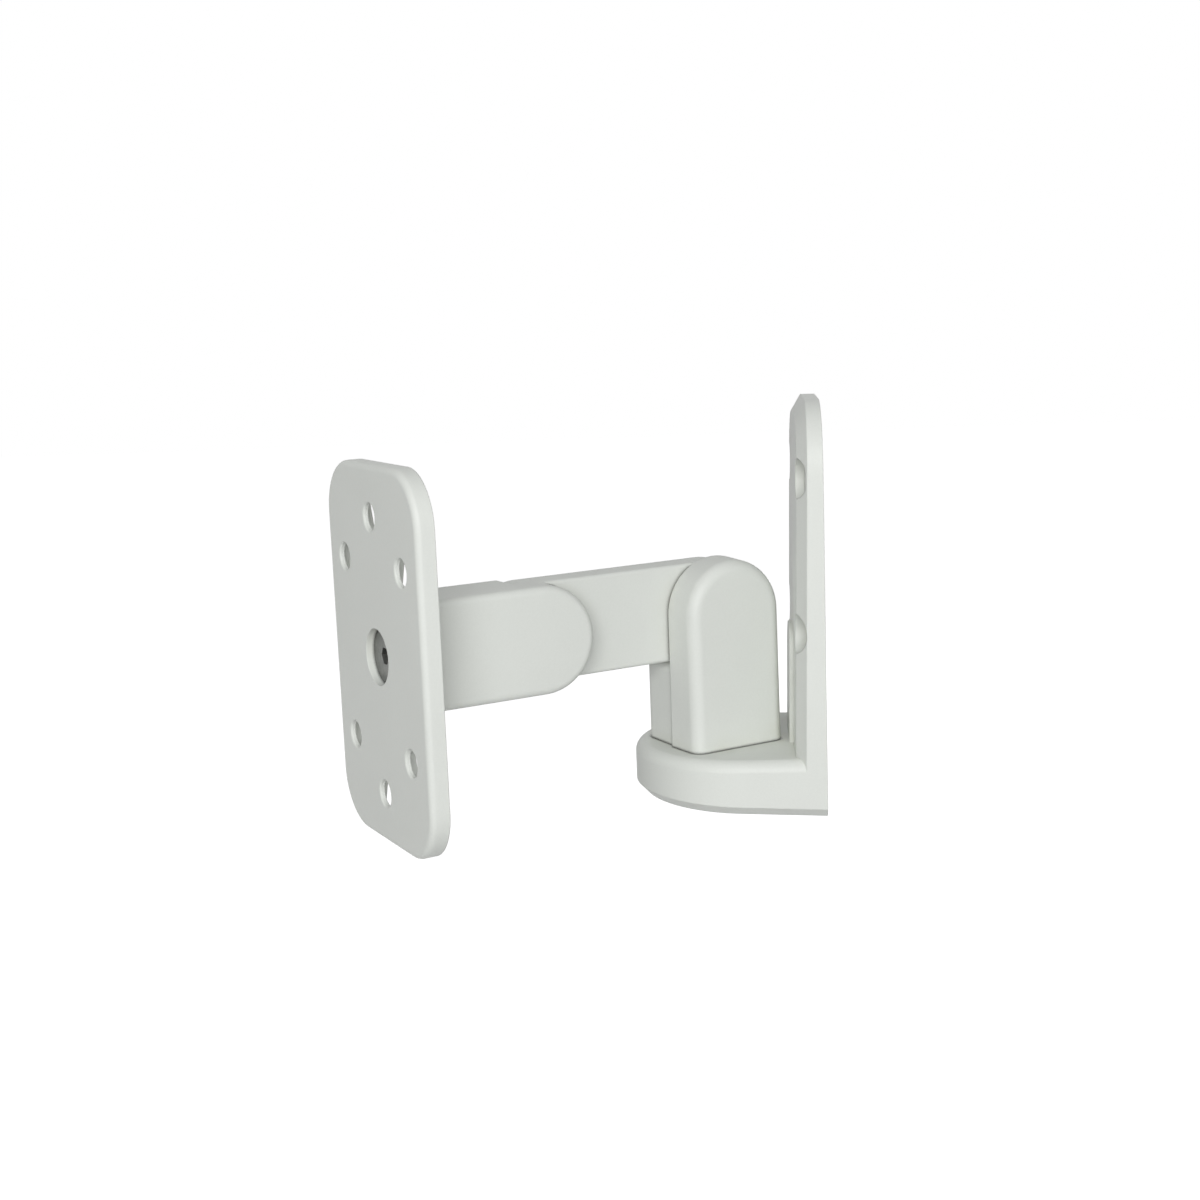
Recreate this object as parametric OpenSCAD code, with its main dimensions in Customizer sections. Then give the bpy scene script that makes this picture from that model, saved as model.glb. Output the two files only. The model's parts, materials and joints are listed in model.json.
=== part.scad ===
// Speaker wall bracket: wall casting with shelf, swivel column, two tilting arms, drilled speaker plate.
// Sizes in mm. +Z up, wall at y = 0 behind the casting, room on the -Y side.
// Origin: centre of the four wall screws on the back face.

/* [Wall casting] */
// width of the wall plate
wall_w = 70; // [66:1:84]
// height of the wall plate above the top of the shelf
wall_rise = 115; // [112:0.5:130]
// thickness of the wall plate at the shelf
wall_t = 9.9; // [9.5:0.1:12]
// lean of the plate's front face towards the wall, degrees
wall_lean = 1; // [0.5:0.25:1.5]
// depth of the bevel from the front face
bevel_t = 3.2; // [2.4:0.2:4]
// width of the bevel, seen from the front
wall_bevel = 5.6; // [4:0.2:6]
// radius of the two top corners
wall_corner = 21.8; // [14:0.2:24]
// thickness of the shelf at the wall
shelf_h = 19.2; // [18.5:0.1:22]
// rise of the shelf's underside towards the nose, degrees
foot_lean = 2.3; // [1:0.1:3]
// reach of the nose beyond the swivel axis
nose_reach = 26; // [25:0.1:28]
// rounding of the shelf's top rim
rim_r = 4; // [2:0.25:4.5]
// width and height of the bevel under the shelf
foot_bevel = 3; // [1:0.2:3.4]
// how far the raised spine stands off the plate
spine_proud = 1.4; // [1:0.1:2.5]
// width of the raised spine
spine_w = 22; // [18:1:26]
// height of the spine above the shelf
spine_rise = 39.5; // [36:0.5:46]

/* [Wall screws] */
// spacing of the wall screws along the wall
screw_dx = 56.6; // [54:0.2:58]
// spacing of the wall screws up the wall
screw_dz = 50; // [46:0.5:52]
// height of the lower pair above the shelf
screw_low = 41; // [38:0.5:42]
// diameter of a wall screw hole
screw_d = 6.5; // [5:0.5:7]
// diameter of the recess round a wall screw
recess_d = 13; // [12:0.5:13]
// thickness left under a wall screw's head
recess_floor = 5.5; // [5:0.1:6]

/* [Swivel column] */
// distance of the swivel axis from the wall
pan_y = 37.6; // [36.5:0.1:42]
// angle of the arm from straight out, as stored
pan_angle = 33.3; // [20:0.1:40]
// half width of the tall side's outer face, along the arm
column_half = 17.6; // [17.2:0.1:18.2]
// widening of the tall side away from its outer face, degrees
ear_draft = 3; // [2:0.25:4]
// half width of the low step, along the arm
step_half = 17.2; // [16.2:0.1:17.2]
// reach of the column's foot on the tall side
foot_near = 18.6; // [18.2:0.1:19]
// reach of the column's foot on the low side
foot_far = 15; // [14:0.5:16]
// radius of the low step's upright corners
foot_corner = 5; // [3:0.5:6]
// lean of the tall side's outer face, degrees
ear_lean = 1.25; // [0.75:0.25:2]
// rounding of the tall side's outer edge
ear_round = 4; // [2:0.2:4.6]
// rounding over the low step's outer edge
step_round = 7; // [5:0.5:8]
// rounding of the low step's two side edges
step_edge = 4; // [2:0.25:4.5]
// height of the shoulder axis above the shelf
pivot_rise = 45.2; // [43:0.2:50]

/* [Rear arm] */
// distance between the shoulder and elbow axes
rear_len = 69.4; // [60:0.2:90]
// height of the rear arm
rear_h = 32.5; // [28:0.5:33]
// thickness of the rear arm
rear_t = 10.1; // [9.5:0.1:12]
// distance of the rear arm's outer face from the swivel axis
rear_face = 3.1; // [2:0.1:4]
// space between the rear arm and the tall side, filled by the friction disc
shoulder_space = 1; // [0.8:0.1:1.5]
// depth of the core pocket in the rear arm
rear_pocket = 6; // [4:0.5:7]

/* [Front arm] */
// distance from the elbow axis to the back of the speaker plate
fore_len = 47; // [45:0.5:60]
// height of the front arm
fore_h = 34.8; // [34.2:0.1:36]
// how far the front arm's centre line lies below the elbow axis
fore_drop = 0.6; // [0.2:0.1:1]
// thickness of the front arm's round cheek at the elbow
cheek_t = 11.4; // [10.5:0.1:13]
// rounding of the front arm's outer edges
fore_round = 2.4; // [1.5:0.1:3]
// angle that the elbow can open either way, degrees
elbow_swing = 20; // [20:1:30]
// height of the flare where the front arm meets the plate
flare = 0.6; // [0.4:0.1:1.5]

/* [Speaker plate] */
// width of the speaker plate
plate_w = 70; // [68:1:80]
// height of the speaker plate
plate_h = 117.3; // [112:0.1:130]
// thickness of the speaker plate
plate_t = 6; // [5.5:0.1:7]
// corner radius of the speaker plate
plate_corner = 17.1; // [14:0.1:20]
// rounding of the plate's front edge
plate_round = 2; // [1:0.1:2.5]
// thickness of the plate between its rim, boss and ribs
plate_web = 1.6; // [1.4:0.1:3]
// distance of the plate's centre line from the swivel axis
plate_off = 5; // [4:0.1:5.5]
// height of the two end holes above and below the centre
end_hole = 42.8; // [40:0.1:45]
// height of the four side holes above and below the centre
side_hole_z = 28.5; // [26:0.1:30]
// distance of the four side holes from the centre line
side_hole_x = 22; // [20:0.1:23]
// diameter of a speaker screw hole
hole_d = 8.5; // [6.5:0.5:8.5]
// width of the small chamfer round each hole
hole_sink = 0.4; // [0.3:0.05:0.6]

/* [Fasteners and fits] */
// thread diameter of the four bolts
bolt_d = 8; // [6:1:8]
// head diameter of the shoulder and elbow bolts
cap_head_d = 13; // [12:0.5:14]
// head height of the shoulder and elbow bolts
cap_head_h = 5; // [4:0.5:6]
// width across flats of the swivel bolt's head
hex_af = 13; // [12:0.5:14]
// height of the swivel bolt's head
hex_h = 5.3; // [4.5:0.1:5.8]
// length of the swivel bolt's thread in the column
pan_grip = 22; // [18:0.5:23]
// length of the plate screw's thread in the front arm
screw_grip = 20; // [16:0.5:22]
// head diameter of the plate screw
disc_head_d = 16.5; // [15:0.1:17]
// head thickness of the plate screw
disc_head_h = 1.6; // [1.2:0.1:1.8]
// outer diameter of the washers
washer_d = 16; // [15:0.5:17]
// thickness of a flat washer
washer_t = 1.6; // [1.2:0.1:1.8]
// thickness of a spring washer
spring_t = 2; // [1.6:0.1:2]
// thickness of a plastic friction ring
ring_t = 1; // [0.8:0.1:1.2]
// radial clearance of a bolt in the part that turns on it
turn_fit = 0.08; // [0.04:0.01:0.1]
// radial clearance between a thread and its hole
thread_fit = 0.03; // [0.01:0.01:0.05]
// clearance between faces that slide on each other
slide_gap = 0.05; // [0.03:0.01:0.1]
// space between castings that pass each other
part_gap = 0.3; // [0.2:0.05:0.4]

/* [Hidden] */
$fn = 96;

paint = [0.80, 0.81, 0.82];
steel = [0.55, 0.56, 0.58];
zinc = [0.62, 0.62, 0.60];
plastic = [0.12, 0.12, 0.13];

half_w = wall_w / 2;
shelf_z = -(screw_low + screw_dz / 2);      // top of the shelf
nose_y = -(pan_y + nose_reach - half_w);    // centre of the shelf's round nose
roof_t = 6;                                 // shelf thickness over the swivel bolt
shell_t = 3.2;                              // walls of the shelf's core pocket
rib_t = 3;                                  // ribs of the shelf and the speaker plate
boss_wall = 3.5;                            // wall round a counterbore
wall_skin = 6;                              // wall plate left in front of its pockets
pocket_side = 3;                            // pockets' distance from the bevel
pocket_low = 12;                            // and above the shelf
pocket_top = 8;                             // and below the top of the plate
pocket_corner = 14;
pocket_t = wall_t - wall_skin;              // their depth
screw_wall = 2;                             // wall round a screw recess
wall_rib_t = 5;                             // ribs between the pockets
arm_clear = 0.5;                            // space round the end of the rear arm
step_h = pivot_rise - rear_h / 2 - arm_clear;   // low step just under the rear arm
ear_back = rear_face + shoulder_space;
ear_face = foot_near - pivot_rise * tan(ear_lean);
rear_far = rear_face - rear_t;
rear_round = 1.2;                           // rounding of the rear arm's outer edges
arm_wall = 4;                               // walls beside the rear arm's pocket
arm_pocket_r = 3;
arm_rib_t = 2.6;
arm_rib_angle = 38;
cheek_far = rear_face + part_gap;
fore_face = cheek_far + cheek_t;
plate_y = -(rear_len + fore_len);
bolt_r = bolt_d / 2;
seat_gap = 1;                               // space round a washer in its counterbore
seat_depth = 4;                             // counterbore in the rear arm
seat_r = washer_d / 2 + seat_gap;
seat_floor = rear_far + seat_depth;
blind = 2.4;                                // metal left past a blind hole
tip = 0.7;                                  // space past a bolt's tip
disc_r = 13;                                // friction discs at the arms
pan_ring_r = 14;
ring_fit = 0.2;                             // radial clearance of the small rings and washers
pan_ring_fit = 0.5;                         // and of the ring under the column
key_af = 6;                                 // hexagon key of the shoulder and elbow bolts
key_floor = 1.5;                            // metal under it
screw_key_af = 5;                           // hexagon key of the plate screw
screw_key_depth = 3.4;
plate_ring_r = 8.4;
ring_inset = 0.8;                           // depth of a friction ring's seat
plate_floor = 1.8;                          // plate thickness under the screw head
sink_gap = 0.5;                             // space round the screw head
sink_r = disc_head_d / 2 + sink_gap;
plate_rim = 3.5;                            // rim left round the plate's cored back
plate_boss_r = 22;                          // boss in its middle
plate_rib_angle = 72;                       // slope of the ribs towards the side holes
flare_len = 9;
split_angle = 350;                          // arc of a spring washer
stack_t = ring_t + slide_gap + washer_t + spring_t;     // ring and washers under a bolt head
column_deep = 36;                           // leaning form, deeper than the column
column_long = 62;                           // and longer
past = 60;                                  // cuts that pass right through the column

// draws in the Y-Z plane, with its thickness towards +X
module turned() rotate([90, 0, 90]) children();

// moves a child to the column's own frame, where the arm points to -Y
module at_column() translate([0, -pan_y, shelf_z]) rotate([0, 0, pan_angle]) children();

module at_shoulder() at_column() translate([0, 0, pivot_rise]) children();

module at_elbow() at_shoulder() translate([0, -rear_len, 0]) children();

module at_plate() at_shoulder() translate([plate_off, plate_y, 0]) rotate([90, 0, 0]) children();

// section of a slab's edge, with its outer top corner rounded
module round_section(reach, t, e) {
    square([reach, t - e]);
    square([reach - e, t]);
    translate([reach - e, t - e]) circle(r = e, $fn = 32);
}

// rounded rectangle made of squares and circles
module soft_rect(w, h, r) {
    square([w - 2 * r, h], center = true);
    square([w, h - 2 * r], center = true);
    for (x = [-1, 1], y = [-1, 1])
        translate([x * (w / 2 - r), y * (h / 2 - r)]) circle(r = r);
}

// rounded slab whose front rim is rounded too
module soft_slab(w, h, r, t, e) {
    a = w / 2 - r;
    b = h / 2 - r;
    translate([-a, -b, 0]) cube([2 * a, 2 * b, t]);
    for (k = [0, 1]) rotate([0, 0, 180 * k]) {
        translate([a, b, 0]) rotate([90, 0, 0]) linear_extrude(2 * b) round_section(r, t, e);
        translate([-a, b, 0]) turned() linear_extrude(2 * a) round_section(r, t, e);
        translate([a, b, 0]) rotate_extrude(angle = 90) round_section(r, t, e);
        translate([-a, b, 0]) rotate([0, 0, 90]) rotate_extrude(angle = 90) round_section(r, t, e);
    }
}

// what a bevel takes off: drawn with the sharp corner at the origin, and longer at both ends
module bevel_section(w, d) {
    over = 0.3;
    polygon([[-w * (1 + over), d * over], [w * over, -d * (1 + over)], [w * over, d * over]]);
}

// leaning frame of the plate's front face, drawn in X and Z with its thickness towards the room
module at_face() rotate([90 - wall_lean, 0, 0]) children();

module plate_outline() {
    top = wall_rise - wall_corner;
    translate([-half_w, -shelf_h - 1]) square([wall_w, top + shelf_h + 1]);
    translate([wall_corner - half_w, 0]) square([wall_w - 2 * wall_corner, wall_rise]);
    for (m = [-1, 1]) translate([m * (half_w - wall_corner), top]) circle(r = wall_corner);
}

module bevel_cut() {
    a = half_w - wall_corner;
    top = wall_rise - wall_corner;
    translate([-a, wall_rise, wall_t]) turned() linear_extrude(2 * a)
        bevel_section(wall_bevel, bevel_t);
    for (m = [0, 1]) mirror([m, 0, 0]) {
        translate([half_w, top, wall_t]) rotate([90, 0, 0]) linear_extrude(top + shelf_h + 2)
            bevel_section(wall_bevel, bevel_t);
        translate([a, top, wall_t]) rotate_extrude(angle = 90)
            translate([wall_corner, 0]) bevel_section(wall_bevel, bevel_t);
    }
}

// plate with its spine, both thicker than the casting at the back
module wall_slab() at_face() {
    difference() {
        translate([0, 0, -1]) linear_extrude(wall_t + 1) plate_outline();
        bevel_cut();
    }
    translate([0, 0, 1]) linear_extrude(wall_t + spine_proud - 1) spine_outline();
}

// upright round-topped spine between the plate and the shelf
module spine_outline() {
    translate([-spine_w / 2, -rim_r]) square([spine_w, spine_rise - spine_w / 2 + rim_r]);
    translate([0, spine_rise - spine_w / 2]) circle(r = spine_w / 2);
}

// outline of the shelf: parallel sides and a half-round nose
module shelf_outline() {
    translate([-half_w, nose_y]) square([wall_w, -nose_y]);
    translate([0, nose_y]) circle(r = half_w);
}

// what a rounded rim takes off: drawn with the sharp corner at the origin
module rim_section(e) translate([-e, -e]) difference() {
    square([e + 1, e + 1]);
    circle(r = e + 0.02, $fn = 32);
}

// takes an edge section round the shelf, with its sharp corner on the outline
module along_shelf() {
    translate([0, nose_y, 0]) rotate([0, 0, 180]) rotate_extrude(angle = 180)
        translate([half_w, 0]) children();
    for (m = [0, 1]) mirror([m, 0, 0]) translate([half_w, 1, 0]) rotate([90, 0, 0])
        linear_extrude(1 - nose_y) children();
}

module shelf() difference() {
    translate([0, 0, -shelf_h]) linear_extrude(shelf_h) shelf_outline();
    along_shelf() rim_section(rim_r);
}

// pocket under the shelf, with a boss and ribs round the swivel bolt
module shelf_pocket() translate([0, 0, -shelf_h - 1]) linear_extrude(shelf_h - roof_t + 1) difference() {
    inner = half_w - shell_t - foot_bevel;
    intersection() {
        union() {
            translate([0, nose_y]) circle(r = inner);
            translate([-inner, nose_y]) square([2 * inner, -nose_y]);
        }
        translate([-half_w, -pan_y - nose_reach]) square([wall_w, pan_y + nose_reach - wall_t - rib_t]);
    }
    translate([0, -pan_y]) {
        circle(r = seat_r + boss_wall);
        for (a = [0, 60, 120]) rotate([0, 0, a]) square([2 * wall_w, rib_t], center = true);
    }
}

module pan_seat() {
    translate([0, -pan_y, -shelf_h - 1]) cylinder(r = seat_r, h = shelf_h - roof_t + 1);
    translate([0, -pan_y, -shelf_h]) cylinder(r = bolt_r + turn_fit, h = shelf_h + 1);
}

// shallow core pockets in the back of the wall plate
module wall_pocket() rotate([90, 0, 0]) translate([0, 0, -1]) linear_extrude(pocket_t + 1) difference() {
    h = wall_rise - pocket_low - pocket_top;
    translate([0, pocket_low + h / 2])
        soft_rect(wall_w - 2 * (wall_bevel + pocket_side), h, pocket_corner);
    for (x = [-1, 1], z = [0, 1])
        translate([x * screw_dx / 2, screw_low + z * screw_dz]) circle(r = recess_d / 2 + screw_wall);
    translate([-wall_rib_t / 2, 0]) square([wall_rib_t, wall_rise]);
    translate([-half_w, screw_low + (screw_dz - wall_rib_t) / 2]) square([wall_w, wall_rib_t]);
    spine_outline();
}

module wall_screw_holes() for (x = [-1, 1], z = [0, 1])
    translate([x * screw_dx / 2, 0, screw_low + z * screw_dz]) rotate([90, 0, 0]) {
        translate([0, 0, -1]) cylinder(r = screw_d / 2, h = wall_t + 2, $fn = 48);
        translate([0, 0, recess_floor]) cylinder(r = recess_d / 2, h = wall_t, $fn = 64);
    }

module wall_bracket() color(paint) translate([0, 0, shelf_z]) difference() {
    union() {
        wall_slab();
        shelf();
    }
    translate([-wall_w, 0, -wall_w]) cube([2 * wall_w, 2 * wall_t, 2 * wall_rise]);
    translate([0, 0, -shelf_h]) rotate([-foot_lean, 0, 0]) mirror([0, 0, 1]) {
        translate([-wall_w, -wall_w, 0]) cube(2 * wall_w);
        along_shelf() bevel_section(foot_bevel, foot_bevel);
    }
    shelf_pocket();
    pan_seat();
    wall_pocket();
    wall_screw_holes();
}

// edge section of the tall side, which widens away from its outer face
module drafted_section(reach, t, e, draft) {
    l = e * tan(45 - draft / 2);
    polygon([[0, 0], [reach + t * tan(draft), 0], [reach + l * sin(draft), t - l * cos(draft)],
        [reach - l, t], [0, t]]);
    translate([reach - l, t - e]) circle(r = e, $fn = 32);
}

// round-topped upright that leans back a little, thick enough for the whole column
module leaning_form() translate([ear_face, 0, pivot_rise]) rotate([0, -ear_lean, 0]) {
    translate([-column_deep, 0, -column_long]) linear_extrude(column_long)
        for (m = [0, 1]) mirror([0, m, 0]) rotate([0, 0, 90]) mirror([0, 1, 0])
            drafted_section(column_half, column_deep, ear_round, ear_draft);
    translate([-column_deep, 0, 0]) rotate([0, 90, 0]) rotate([0, 0, 90])
        rotate_extrude(angle = 180) drafted_section(column_half, column_deep, ear_round, ear_draft);
}

// side view of the column: the tall side, and the low step that the rear arm passes over
module column_side() translate([0, past, 0]) rotate([90, 0, 0]) linear_extrude(2 * past) {
    translate([-foot_far, -1]) square([past, step_h + 1 - step_round]);
    translate([-foot_far + step_round, -1]) square([past, step_h + 1]);
    translate([-foot_far + step_round, step_h - step_round]) circle(r = step_round);
    translate([ear_back, -1]) square([past, 2 * past]);
}

// plan of the column: the low step with its round far corners, and room for the wider tall side
module column_plan() translate([0, 0, -1]) linear_extrude(2 * past) {
    y = step_half - foot_corner;
    translate([-foot_far + foot_corner, -step_half]) square([past, 2 * step_half]);
    translate([-foot_far, -y]) square([past, 2 * y]);
    for (m = [-1, 1]) translate([-foot_far + foot_corner, m * y]) circle(r = foot_corner, $fn = 48);
    translate([ear_back, -past]) square([past, 2 * past]);
}

module swivel_column() color(paint) at_column() difference() {
    intersection() {
        leaning_form();
        column_side();
        column_plan();
    }
    for (m = [0, 1]) mirror([0, m, 0]) translate([-foot_far - 1, step_half, step_h])
        turned() linear_extrude(foot_far + 1 + ear_back) rim_section(step_edge);
    translate([-past, -past, slide_gap - past]) cube([2 * past, 2 * past, past]);
    translate([0, 0, -1]) cylinder(r = bolt_r + thread_fit, h = pan_grip + 1);
    translate([0, 0, -1]) cylinder(r = pan_ring_r + part_gap, h = ring_t + slide_gap + 1);
    translate([ear_back - 1, 0, pivot_rise]) rotate([0, 90, 0])
        cylinder(r = bolt_r + thread_fit, h = ear_face - ear_back - blind + 1);
}

module rear_arm() color(paint) at_shoulder() translate([rear_far, 0, 0]) difference() {
    union() {
        turned() rotate([0, 0, -90])
            rotate_extrude(angle = 180) round_section(rear_h / 2, rear_t, rear_round);
        translate([0, -rear_len, 0]) turned() rotate([0, 0, 90])
            rotate_extrude(angle = 180) round_section(rear_h / 2, rear_t, rear_round);
        rotate([90, 0, 0]) linear_extrude(rear_len) rotate([0, 0, 90]) for (m = [0, 1])
            mirror([m, 0, 0]) mirror([0, 1, 0]) round_section(rear_h / 2, rear_t, rear_round);
    }
    for (y = [0, -rear_len]) translate([-1, y, 0]) rotate([0, 90, 0]) {
        cylinder(r = bolt_r + turn_fit, h = rear_t + 2);
        cylinder(r = seat_r, h = 1 + seat_depth);
    }
    translate([-1, 0, 0]) turned() linear_extrude(rear_pocket + 1) difference() {
        translate([-rear_len / 2, 0])
            soft_rect(rear_len - 2 * (seat_r + boss_wall), rear_h - 2 * arm_wall, arm_pocket_r);
        for (s = [-1, 1]) translate([-rear_len / 2, 0]) rotate([0, 0, s * arm_rib_angle])
            square([rear_len, arm_rib_t], center = true);
    }
}

module front_arm() color(paint) at_elbow() difference() {
    union() {
        // cheek round the elbow
        translate([cheek_far, 0, -fore_drop]) turned() rotate([0, 0, -90])
            rotate_extrude(angle = 180) round_section(fore_h / 2, cheek_t, fore_round);
        // bar, drawn as its section
        translate([rear_far, 0, -fore_drop]) rotate([90, 0, 0]) linear_extrude(fore_len - part_gap / 2)
            rotate([0, 0, 90]) for (m = [0, 1]) mirror([m, 0, 0]) mirror([0, 1, 0])
                round_section(fore_h / 2, fore_face - rear_far, fore_round);
        // small flare at the plate
        translate([rear_far, 0, -fore_drop]) turned() linear_extrude(fore_face - rear_far - fore_round)
            translate([-fore_len, fore_h / 2]) polygon([[flare_len, -1], [flare_len, 0],
                [4, flare * 0.35], [1.5, flare * 0.75], [part_gap / 2, flare], [part_gap / 2, -1]]);
    }
    // notch that takes the end of the rear arm
    translate([rear_far - 1, 0, 0]) turned() linear_extrude(rear_t + part_gap + 1) {
        circle(r = rear_h / 2 + arm_clear);
        polygon([[0, 0], fore_h * [-sin(elbow_swing), cos(elbow_swing)], [fore_h, fore_h],
            [fore_h, -fore_h], fore_h * [-sin(elbow_swing), -cos(elbow_swing)]]);
    }
    // seat of the friction disc and the thread behind it
    translate([cheek_far - 1, 0, 0]) rotate([0, 90, 0]) {
        cylinder(r = disc_r + part_gap, h = 1 + ring_inset);
        cylinder(r = bolt_r + thread_fit, h = 1 + cheek_t - blind);
    }
    // seat of the plate's friction ring and the screw's thread
    translate([plate_off, -fore_len + part_gap / 2 - 1, 0]) rotate([-90, 0, 0]) {
        cylinder(r = plate_ring_r + ring_fit, h = 1 + ring_inset);
        cylinder(r = bolt_r + thread_fit, h = 1 + screw_grip + tip);
    }
}

// back of the speaker plate, cored out between its rim, centre boss and ribs
module plate_back_cut() translate([0, 0, -1]) linear_extrude(1 + plate_t - plate_web) difference() {
    soft_rect(plate_w - 2 * plate_rim, plate_h - 2 * plate_rim, plate_corner - plate_rim);
    circle(r = plate_boss_r);
    for (a = [0, plate_rib_angle, 180 - plate_rib_angle])
        rotate([0, 0, a]) square([plate_h + plate_w, rib_t], center = true);
}

module hole_places() {
    for (s = [-1, 1]) translate([0, s * end_hole]) children();
    for (x = [-1, 1], z = [-1, 1]) translate([x * side_hole_x, z * side_hole_z]) children();
}

module speaker_plate() color(paint) at_plate() difference() {
    soft_slab(plate_w, plate_h, plate_corner, plate_t, plate_round);
    plate_back_cut();
    hole_places() {
        translate([0, 0, -1]) cylinder(r = hole_d / 2, h = plate_t + 2, $fn = 48);
        translate([0, 0, plate_t - hole_sink])
            cylinder(r1 = hole_d / 2, r2 = hole_d / 2 + 2 * hole_sink, h = 2 * hole_sink, $fn = 48);
    }
    translate([0, 0, -1]) cylinder(r = bolt_r + turn_fit, h = plate_t + 2);
    translate([0, 0, plate_floor]) cylinder(r = sink_r, h = plate_t);
}

module ring(outer, inner, t) difference() {
    cylinder(r = outer, h = t);
    translate([0, 0, -1]) cylinder(r = inner, h = t + 2);
}

// split spring washer, closed flat
module split_ring(outer, inner, t) rotate([0, 0, (360 - split_angle) / 2])
    rotate_extrude(angle = split_angle) translate([inner, 0]) square([outer - inner, t]);

// swivel stack, drawn downwards from the underside of the shelf's roof
module under_roof(depth) at_column() translate([0, 0, -roof_t - depth]) children();

module pan_friction_ring() color(plastic) at_column()
    ring(pan_ring_r, bolt_r + pan_ring_fit, ring_t);

module pan_lower_ring() color(plastic) under_roof(slide_gap + ring_t)
    ring(washer_d / 2, bolt_r + ring_fit, ring_t);

module pan_flat_washer() color(zinc) under_roof(slide_gap + ring_t + washer_t)
    ring(washer_d / 2, bolt_r + ring_fit, washer_t);

module pan_spring_washer() color(zinc) under_roof(stack_t)
    split_ring(hex_af / 2, bolt_r + ring_fit, spring_t);

module pan_bolt() color(steel) at_column() {
    translate([0, 0, -roof_t - stack_t - hex_h]) cylinder(r = hex_af / sqrt(3), h = hex_h, $fn = 6);
    translate([0, 0, -roof_t - stack_t - 0.5])
        cylinder(r = bolt_r, h = roof_t + stack_t + 0.5 + pan_grip - tip);
}

// arm joint stack, drawn from the seat on the rear arm's hidden side towards -X
module cap_stack(depth) translate([seat_floor - depth, 0, 0]) rotate([0, 90, 0]) children();

module cap_bolt(end) difference() {
    union() {
        cap_stack(stack_t + cap_head_h) cylinder(r = cap_head_d / 2, h = cap_head_h, $fn = 64);
        cap_stack(stack_t + 0.5) cylinder(r = bolt_r, h = end - seat_floor + stack_t + 0.5 - tip);
    }
    cap_stack(stack_t + cap_head_h + 1)
        cylinder(r = key_af / sqrt(3), h = 1 + cap_head_h - key_floor, $fn = 6);
}

module shoulder_friction_disc() color(plastic) at_shoulder()
    translate([ear_back, 0, 0]) rotate([0, -90, 0])
        ring(disc_r, bolt_r + ring_fit, shoulder_space - slide_gap);

module shoulder_outer_ring() color(plastic) at_shoulder()
    cap_stack(ring_t) ring(washer_d / 2, bolt_r + ring_fit, ring_t);

module shoulder_flat_washer() color(zinc) at_shoulder()
    cap_stack(ring_t + slide_gap + washer_t) ring(washer_d / 2, bolt_r + ring_fit, washer_t);

module shoulder_spring_washer() color(zinc) at_shoulder()
    cap_stack(stack_t) split_ring(cap_head_d / 2, bolt_r + ring_fit, spring_t);

module shoulder_bolt() color(steel) at_shoulder() cap_bolt(ear_face - blind);

module elbow_friction_disc() color(plastic) at_elbow()
    translate([cheek_far + ring_inset, 0, 0]) rotate([0, -90, 0])
        ring(disc_r, bolt_r + ring_fit, ring_inset + part_gap - slide_gap);

module elbow_outer_ring() color(plastic) at_elbow()
    cap_stack(ring_t) ring(washer_d / 2, bolt_r + ring_fit, ring_t);

module elbow_flat_washer() color(zinc) at_elbow()
    cap_stack(ring_t + slide_gap + washer_t) ring(washer_d / 2, bolt_r + ring_fit, washer_t);

module elbow_spring_washer() color(zinc) at_elbow()
    cap_stack(stack_t) split_ring(cap_head_d / 2, bolt_r + ring_fit, spring_t);

module elbow_bolt() color(steel) at_elbow() cap_bolt(fore_face - blind);

module plate_friction_ring() color(plastic) at_plate() translate([0, 0, -part_gap / 2 - ring_inset])
    ring(plate_ring_r, bolt_r + ring_fit, ring_inset + part_gap / 2 - slide_gap);

module plate_screw() color(steel) at_plate() difference() {
    union() {
        translate([0, 0, plate_floor + slide_gap]) cylinder(r = disc_head_d / 2, h = disc_head_h);
        translate([0, 0, -screw_grip]) cylinder(r = bolt_r, h = screw_grip + plate_floor + 1);
    }
    translate([0, 0, plate_floor + slide_gap + disc_head_h - screw_key_depth])
        cylinder(r = screw_key_af / sqrt(3), h = screw_key_depth + 1, $fn = 6);
}

wall_bracket();
swivel_column();
rear_arm();
front_arm();
speaker_plate();
pan_friction_ring();
pan_lower_ring();
pan_flat_washer();
pan_spring_washer();
pan_bolt();
shoulder_friction_disc();
shoulder_outer_ring();
shoulder_flat_washer();
shoulder_spring_washer();
shoulder_bolt();
elbow_friction_disc();
elbow_outer_ring();
elbow_flat_washer();
elbow_spring_washer();
elbow_bolt();
plate_friction_ring();
plate_screw();
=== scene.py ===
import json
import math
import bpy
from mathutils import Matrix, Vector


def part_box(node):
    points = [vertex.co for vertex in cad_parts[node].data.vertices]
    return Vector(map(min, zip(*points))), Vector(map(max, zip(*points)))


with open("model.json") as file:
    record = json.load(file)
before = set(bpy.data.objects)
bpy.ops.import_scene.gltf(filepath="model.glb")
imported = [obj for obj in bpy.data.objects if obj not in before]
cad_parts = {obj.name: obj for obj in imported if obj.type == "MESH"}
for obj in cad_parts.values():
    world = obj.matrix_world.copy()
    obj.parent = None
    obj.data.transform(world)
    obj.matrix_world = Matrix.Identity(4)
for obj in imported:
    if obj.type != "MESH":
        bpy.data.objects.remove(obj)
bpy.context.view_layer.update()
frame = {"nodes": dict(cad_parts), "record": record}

scene = bpy.context.scene
nodes = frame["nodes"]


# Node helpers. Lengths are in metres, and a noise of scale 100 has lumps about 10 mm wide.

near_samples = 6        # rays of each bevel and each ambient occlusion node


def new_material(name):
    mat = bpy.data.materials.new(name)
    mat.use_nodes = True
    tree = mat.node_tree
    tree.nodes.clear()
    out = tree.nodes.new("ShaderNodeOutputMaterial")
    coords = tree.nodes.new("ShaderNodeTexCoord").outputs["Object"]
    return mat, tree, out, coords


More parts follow.
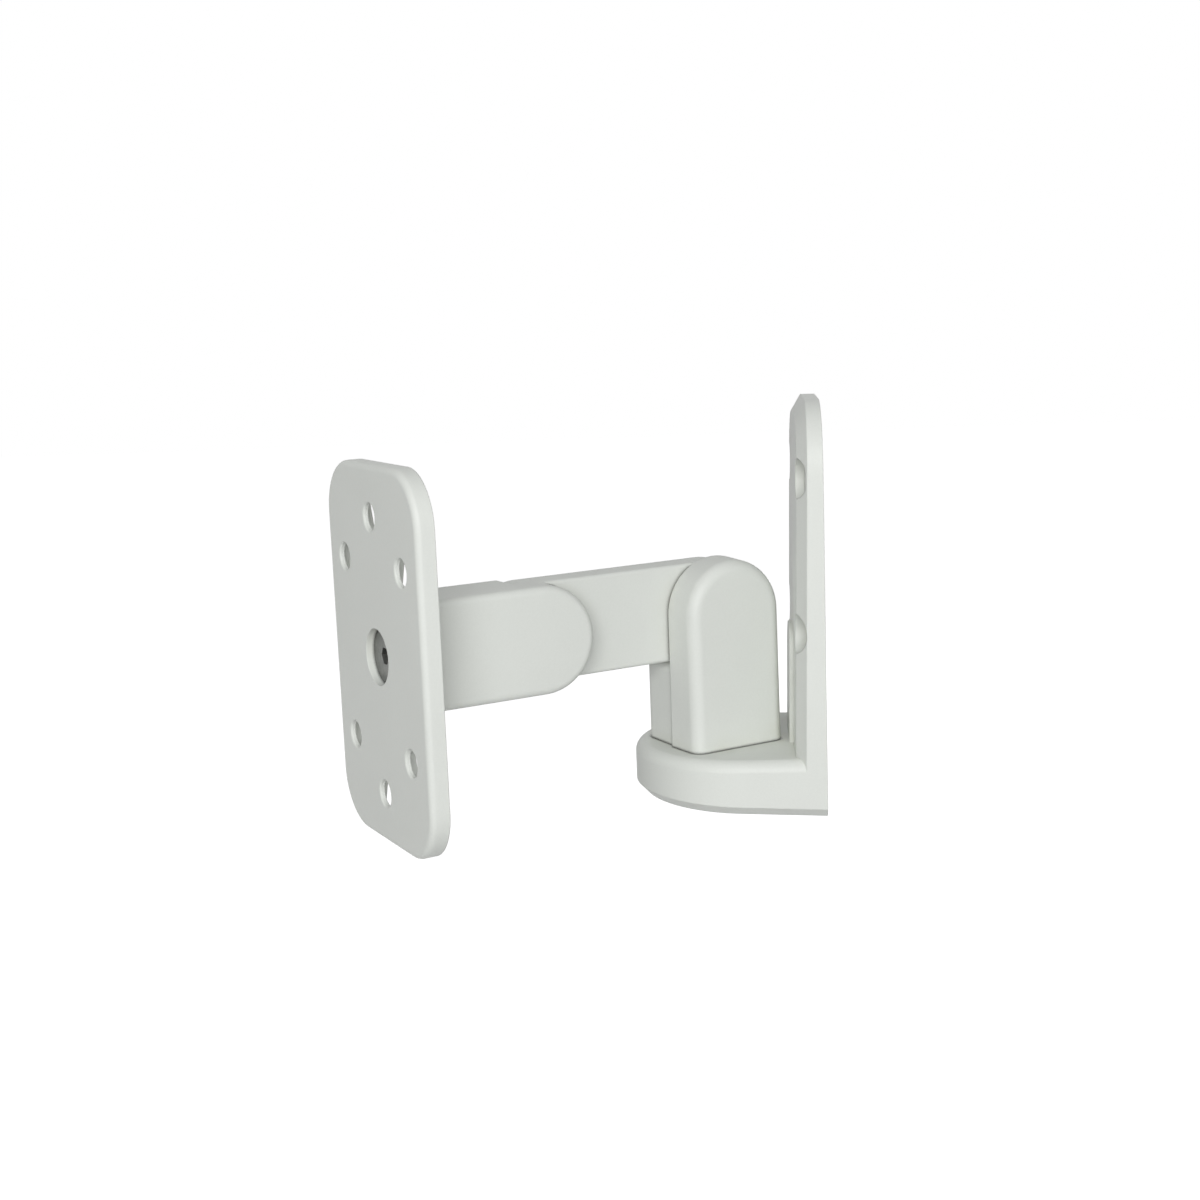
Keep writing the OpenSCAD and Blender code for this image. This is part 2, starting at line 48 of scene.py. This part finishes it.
def new_surface(name):
    """Material with a Principled shader on its output."""
    mat, tree, out, coords = new_material(name)
    shader = tree.nodes.new("ShaderNodeBsdfPrincipled")
    tree.links.new(shader.outputs[0], out.inputs["Surface"])
    return mat, tree, shader, coords


def noise(tree, coords, scale, detail=3.0, rough=0.5):
    n = tree.nodes.new("ShaderNodeTexNoise")
    n.inputs["Scale"].default_value = scale
    n.inputs["Detail"].default_value = detail
    n.inputs["Roughness"].default_value = rough
    tree.links.new(coords, n.inputs["Vector"])
    return n.outputs["Fac"]


def ramp(tree, source, stops):
    r = tree.nodes.new("ShaderNodeValToRGB")
    while len(r.color_ramp.elements) < len(stops):
        r.color_ramp.elements.new(0.5)
    for element, (place, colour) in zip(r.color_ramp.elements, stops):
        element.position = place
        element.color = (*colour, 1)
    tree.links.new(source, r.inputs["Fac"])
    return r.outputs["Color"]


def to_range(tree, source, low, high, start=0.0, end=1.0):
    """Source values from start to end become low to high, and stop there."""
    m = tree.nodes.new("ShaderNodeMapRange")
    m.inputs["From Min"].default_value = start
    m.inputs["From Max"].default_value = end
    m.inputs["To Min"].default_value = low
    m.inputs["To Max"].default_value = high
    tree.links.new(source, m.inputs["Value"])
    return m.outputs["Result"]


def combine(tree, operation, a, b):
    m = tree.nodes.new("ShaderNodeMath")
    m.operation = operation
    for source, socket in ((a, m.inputs[0]), (b, m.inputs[1])):
        if isinstance(source, float):
            socket.default_value = source
        else:
            tree.links.new(source, socket)
    return m.outputs[0]


def tint(tree, colour, factor):
    """Colour times a grey factor."""
    m = tree.nodes.new("ShaderNodeVectorMath")
    m.operation = "SCALE"
    tree.links.new(colour, m.inputs[0])
    tree.links.new(factor, m.inputs["Scale"])
    return m.outputs[0]


def bump(tree, height, strength, distance, below):
    """Normal of a bump over the normal below."""
    b = tree.nodes.new("ShaderNodeBump")
    b.inputs["Strength"].default_value = strength
    b.inputs["Distance"].default_value = distance
    tree.links.new(height, b.inputs["Height"])
    tree.links.new(below, b.inputs["Normal"])
    return b.outputs["Normal"]


def soft_edge(tree, radius):
    """Normal with the sharp edges rounded over."""
    b = tree.nodes.new("ShaderNodeBevel")
    b.samples = near_samples
    b.inputs["Radius"].default_value = radius
    return b.outputs["Normal"]


def edge_mask(tree, radius):
    """1 on an outer or inner edge, 0 on the flats."""
    on_edge, on_flat = 0.84, 0.995      # cosine between the rounded and the true normal
    dot = tree.nodes.new("ShaderNodeVectorMath")
    dot.operation = "DOT_PRODUCT"
    true_normal = tree.nodes.new("ShaderNodeNewGeometry").outputs["Normal"]
    tree.links.new(soft_edge(tree, radius), dot.inputs[0])
    tree.links.new(true_normal, dot.inputs[1])
    return to_range(tree, dot.outputs["Value"], 1.0, 0.0, on_edge, on_flat)


def openness(tree, reach, own=False):
    """1 in the open, less where a face of the part, or only of the same piece, is near."""
    ao = tree.nodes.new("ShaderNodeAmbientOcclusion")
    ao.samples = near_samples
    ao.only_local = own
    ao.inputs["Distance"].default_value = reach
    return ao.outputs["AO"]


def crevice(tree, reach, darkest):
    """Painted shade: factor below 1 where faces meet or nearly touch."""
    closed, clear = 0.25, 0.85
    return to_range(tree, openness(tree, reach), darkest, 1.0, closed, clear)


def painted_gap_shade(tree, reach, darkest):
    """Painted shade: factor below 1 in the thin gap between two pieces."""
    faint, full = 0.12, 0.45
    near = combine(tree, "SUBTRACT", openness(tree, reach, own=True), openness(tree, reach))
    return to_range(tree, near, 1.0, darkest, faint, full)


# Materials

def powder_coat():
    """Pale grey paint: fleck, orange peel, painted highlight on edges, warm grime tint with painted
    shade in corners, and painted shade in the gaps between pieces.
    """
    greys = [(0.25, (0.690, 0.712, 0.676)),
             (0.52, (0.716, 0.738, 0.702)),
             (0.80, (0.738, 0.760, 0.724))]
    fleck_share, broad_share = 0.45, 0.55
    corner_grime_and_shade = (0.55, 0.545, 0.44, 1)
    corner_reach = 0.008
    edge_width = 0.0012
    edge_brighter, edge_smoother = 1.06, 0.08
    joint_reach, joint_shade_depth = 0.0012, 0.22

    mat, tree, shader, coords = new_surface("powder_coat_grey")
    fleck = noise(tree, coords, 1400.0, 2.0, 0.6)
    broad = to_range(tree, noise(tree, coords, 22.0, 2.0), 0.0, broad_share)
    tone = combine(tree, "ADD", combine(tree, "MULTIPLY", fleck, fleck_share), broad)
    edges = edge_mask(tree, edge_width)

    # Warm grime tint and painted shade: colour darker and yellower in corners where other faces are
    # near.
    corners = to_range(tree, openness(tree, corner_reach), 1.0, 0.0, 0.35, 0.9)
    patches = to_range(tree, noise(tree, coords, 70.0), 0.0, 0.45, 0.35, 0.75)
    stain_and_shade = tree.nodes.new("ShaderNodeMix")
    stain_and_shade.data_type = "RGBA"
    tree.links.new(combine(tree, "MULTIPLY", corners, patches), stain_and_shade.inputs["Factor"])
    tree.links.new(ramp(tree, tone, greys), stain_and_shade.inputs["A"])
    stain_and_shade.inputs["B"].default_value = corner_grime_and_shade

    # Painted highlight: colour lighter along edges, in spots.
    highlight_edges = combine(tree, "MULTIPLY", edges, noise(tree, coords, 180.0, 3.0))
    painted_edge_highlight = to_range(tree, highlight_edges, 1.0, edge_brighter)
    # Painted shade in the gaps between pieces, times the painted edge highlight.
    shade = combine(tree, "MULTIPLY", painted_gap_shade(tree, joint_reach, joint_shade_depth), painted_edge_highlight)
    tree.links.new(tint(tree, stain_and_shade.outputs["Result"], shade), shader.inputs["Base Color"])

    rough = to_range(tree, noise(tree, coords, 90.0), 0.42, 0.54)
    rubbed = combine(tree, "MULTIPLY", edges, edge_smoother)
    tree.links.new(combine(tree, "SUBTRACT", rough, rubbed), shader.inputs["Roughness"])
    shader.inputs["Specular IOR Level"].default_value = 0.38

    peel = bump(tree, noise(tree, coords, 620.0, 2.0), 0.06, 0.0003, soft_edge(tree, 0.0006))
    tree.links.new(bump(tree, fleck, 0.03, 0.0001, peel), shader.inputs["Normal"])
    return mat


def plated(name, dark, light, rough_low, rough_high):
    """Plated steel: cloudy, with painted highlight along edges and painted shade in the cracks,
    finely grained.
    """
    crack_reach, crack_shade_depth = 0.0008, 0.45
    edge_width, edge_brighter = 0.0006, 1.25

    mat, tree, shader, coords = new_surface(name)
    cloud = ramp(tree, noise(tree, coords, 260.0, 4.0, 0.6), [(0.3, dark), (0.7, light)])
    # Painted highlight: colour lighter along edges.
    bright = to_range(tree, edge_mask(tree, edge_width), 1.0, edge_brighter)
    # Painted shade in the cracks, times the painted edge highlight.
    shade = combine(tree, "MULTIPLY", crevice(tree, crack_reach, crack_shade_depth), bright)
    tree.links.new(tint(tree, cloud, shade), shader.inputs["Base Color"])

    grain = noise(tree, coords, 2600.0, 2.0)
    tree.links.new(to_range(tree, grain, rough_low, rough_high), shader.inputs["Roughness"])
    shader.inputs["Metallic"].default_value = 0.85
    pitted = bump(tree, grain, 0.12, 0.00008, soft_edge(tree, 0.0003))
    tree.links.new(pitted, shader.inputs["Normal"])
    return mat


def nylon():
    """Black nylon with a fine moulded grain."""
    blacks = [(0.3, (0.018, 0.018, 0.020)), (0.7, (0.035, 0.035, 0.037))]

    mat, tree, shader, coords = new_surface("nylon_black")
    cloud = noise(tree, coords, 300.0, 3.0)
    tree.links.new(ramp(tree, cloud, blacks), shader.inputs["Base Color"])
    tree.links.new(to_range(tree, cloud, 0.45, 0.62), shader.inputs["Roughness"])
    grained = bump(tree, noise(tree, coords, 1800.0), 0.15, 0.0001, soft_edge(tree, 0.0002))
    tree.links.new(grained, shader.inputs["Normal"])
    return mat


by_slot = {
    "paint": powder_coat(),
    "bolt_steel": plated("zinc_plated_steel", (0.15, 0.155, 0.15), (0.26, 0.265, 0.25), 0.36, 0.50),
    "washer_zinc": plated("zinc_plated_washer", (0.42, 0.42, 0.40), (0.58, 0.58, 0.55), 0.26, 0.40),
    "friction_plastic": nylon(),
}
slot_of = {s["node"]: s["material_slot"] for s in frame["record"]["subparts"]}
for name, obj in nodes.items():
    obj.data.materials.clear()
    obj.data.materials.append(by_slot[slot_of[name]])


# Floor and world: white where seen, dimmer as light on the object

floor_size, floor_height = 8.0, -0.30
floor_greys = [(0.3, (0.50, 0.50, 0.50)), (0.7, (0.52, 0.52, 0.52))]
floor_glow = 0.88
world_light, world_seen = 0.27, 1.0


def seen_directly(tree):
    """1 for the camera, mirror images and what shows through, 0 for light on the object."""
    path = tree.nodes.new("ShaderNodeLightPath").outputs
    mirrored = combine(tree, "MAXIMUM", path["Is Glossy Ray"], path["Is Transmission Ray"])
    return combine(tree, "MAXIMUM", path["Is Camera Ray"], mirrored)


def floor_white():
    mat, tree, out, coords = new_material("studio_floor")
    diffuse = tree.nodes.new("ShaderNodeBsdfDiffuse")
    grey = ramp(tree, noise(tree, coords, 3.0), floor_greys)
    tree.links.new(grey, diffuse.inputs["Color"])
    glow = tree.nodes.new("ShaderNodeEmission")
    strength = combine(tree, "MULTIPLY", seen_directly(tree), floor_glow)
    tree.links.new(strength, glow.inputs["Strength"])
    both = tree.nodes.new("ShaderNodeAddShader")
    tree.links.new(diffuse.outputs[0], both.inputs[0])
    tree.links.new(glow.outputs[0], both.inputs[1])
    tree.links.new(both.outputs[0], out.inputs["Surface"])
    return mat


bpy.ops.mesh.primitive_plane_add(size=floor_size, location=(0.0, 0.0, floor_height))
floor = bpy.context.object
floor.name = "floor"
floor.data.materials.append(floor_white())

world = bpy.data.worlds.new("studio")
scene.world = world
world.use_nodes = True
sky = world.node_tree
sky.nodes.clear()
choose = sky.nodes.new("ShaderNodeMixShader")
sky.links.new(seen_directly(sky), choose.inputs[0])
for socket, strength in ((choose.inputs[1], world_light), (choose.inputs[2], world_seen)):
    background = sky.nodes.new("ShaderNodeBackground")
    background.inputs["Color"].default_value = (1, 1, 1, 1)
    background.inputs["Strength"].default_value = strength
    sky.links.new(background.outputs[0], socket)
sky.links.new(choose.outputs[0], sky.nodes.new("ShaderNodeOutputWorld").inputs["Surface"])


# Lamps, with powers fitted to the tones of the photograph. "behind" and "far_side" are weak
# fill for the sides that it doesn't show.

lamp_target = Vector((0.02, -0.06, -0.02))
lamps = (               # name, place, metres across, watts
    ("camera_side", (1.3, -0.04, 0.40), 0.9, 13.3),
    ("room_side", (0.95, -0.95, 0.10), 0.9, 0.4),
    ("wall_side", (1.0, 0.75, 0.45), 0.8, 0.3),
    ("above", (0.2, -0.2, 1.35), 0.9, 0.4),
    ("behind", (-0.5, 1.3, -0.08), 0.4, 4.0),
    ("far_side", (-1.2, 0.4, -0.08), 0.4, 3.0),
)
for name, place, across, power in lamps:
    data = bpy.data.lights.new(name, "AREA")
    data.shape = "DISK"
    data.size = across
    data.energy = power
    lamp = bpy.data.objects.new(name, data)
    scene.collection.objects.link(lamp)
    lamp.location = place
    lamp.rotation_euler = (lamp_target - Vector(place)).to_track_quat("-Z", "Y").to_euler()


# Camera of the photograph, as fitted. Its height is measured from the shelf's top, where the
# lower face of pan_friction_ring lies.

photo_width, focal_length = 1200, 1735.7        # pixels
yaw, pitch, roll = (math.radians(angle) for angle in (4.29, 10.11, -2.15))
eye_along_wall, eye_from_wall, eye_over_shelf = 0.57998, -0.03069, 0.15209
shelf_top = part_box("pan_friction_ring")[0].z
eye = Vector((eye_along_wall, eye_from_wall, shelf_top + eye_over_shelf))

ahead = Vector((-math.cos(yaw) * math.cos(pitch),
                -math.sin(yaw) * math.cos(pitch),
                -math.sin(pitch)))
level_side = ahead.cross(Vector((0, 0, 1))).normalized()
level_top = level_side.cross(ahead)
side = math.cos(roll) * level_side + math.sin(roll) * level_top
top = -math.sin(roll) * level_side + math.cos(roll) * level_top

cam_data = bpy.data.cameras.new("camera")
cam_data.sensor_fit = "HORIZONTAL"
cam_data.sensor_width = 36.0
cam_data.lens = focal_length / photo_width * cam_data.sensor_width
cam_data.clip_start = 0.01
cam = bpy.data.objects.new("camera", cam_data)
scene.collection.objects.link(cam)
turn = Matrix((side, top, -ahead)).transposed().to_4x4()
cam.matrix_world = Matrix.Translation(eye) @ turn
scene.camera = cam
scene.view_settings.view_transform = "Standard"
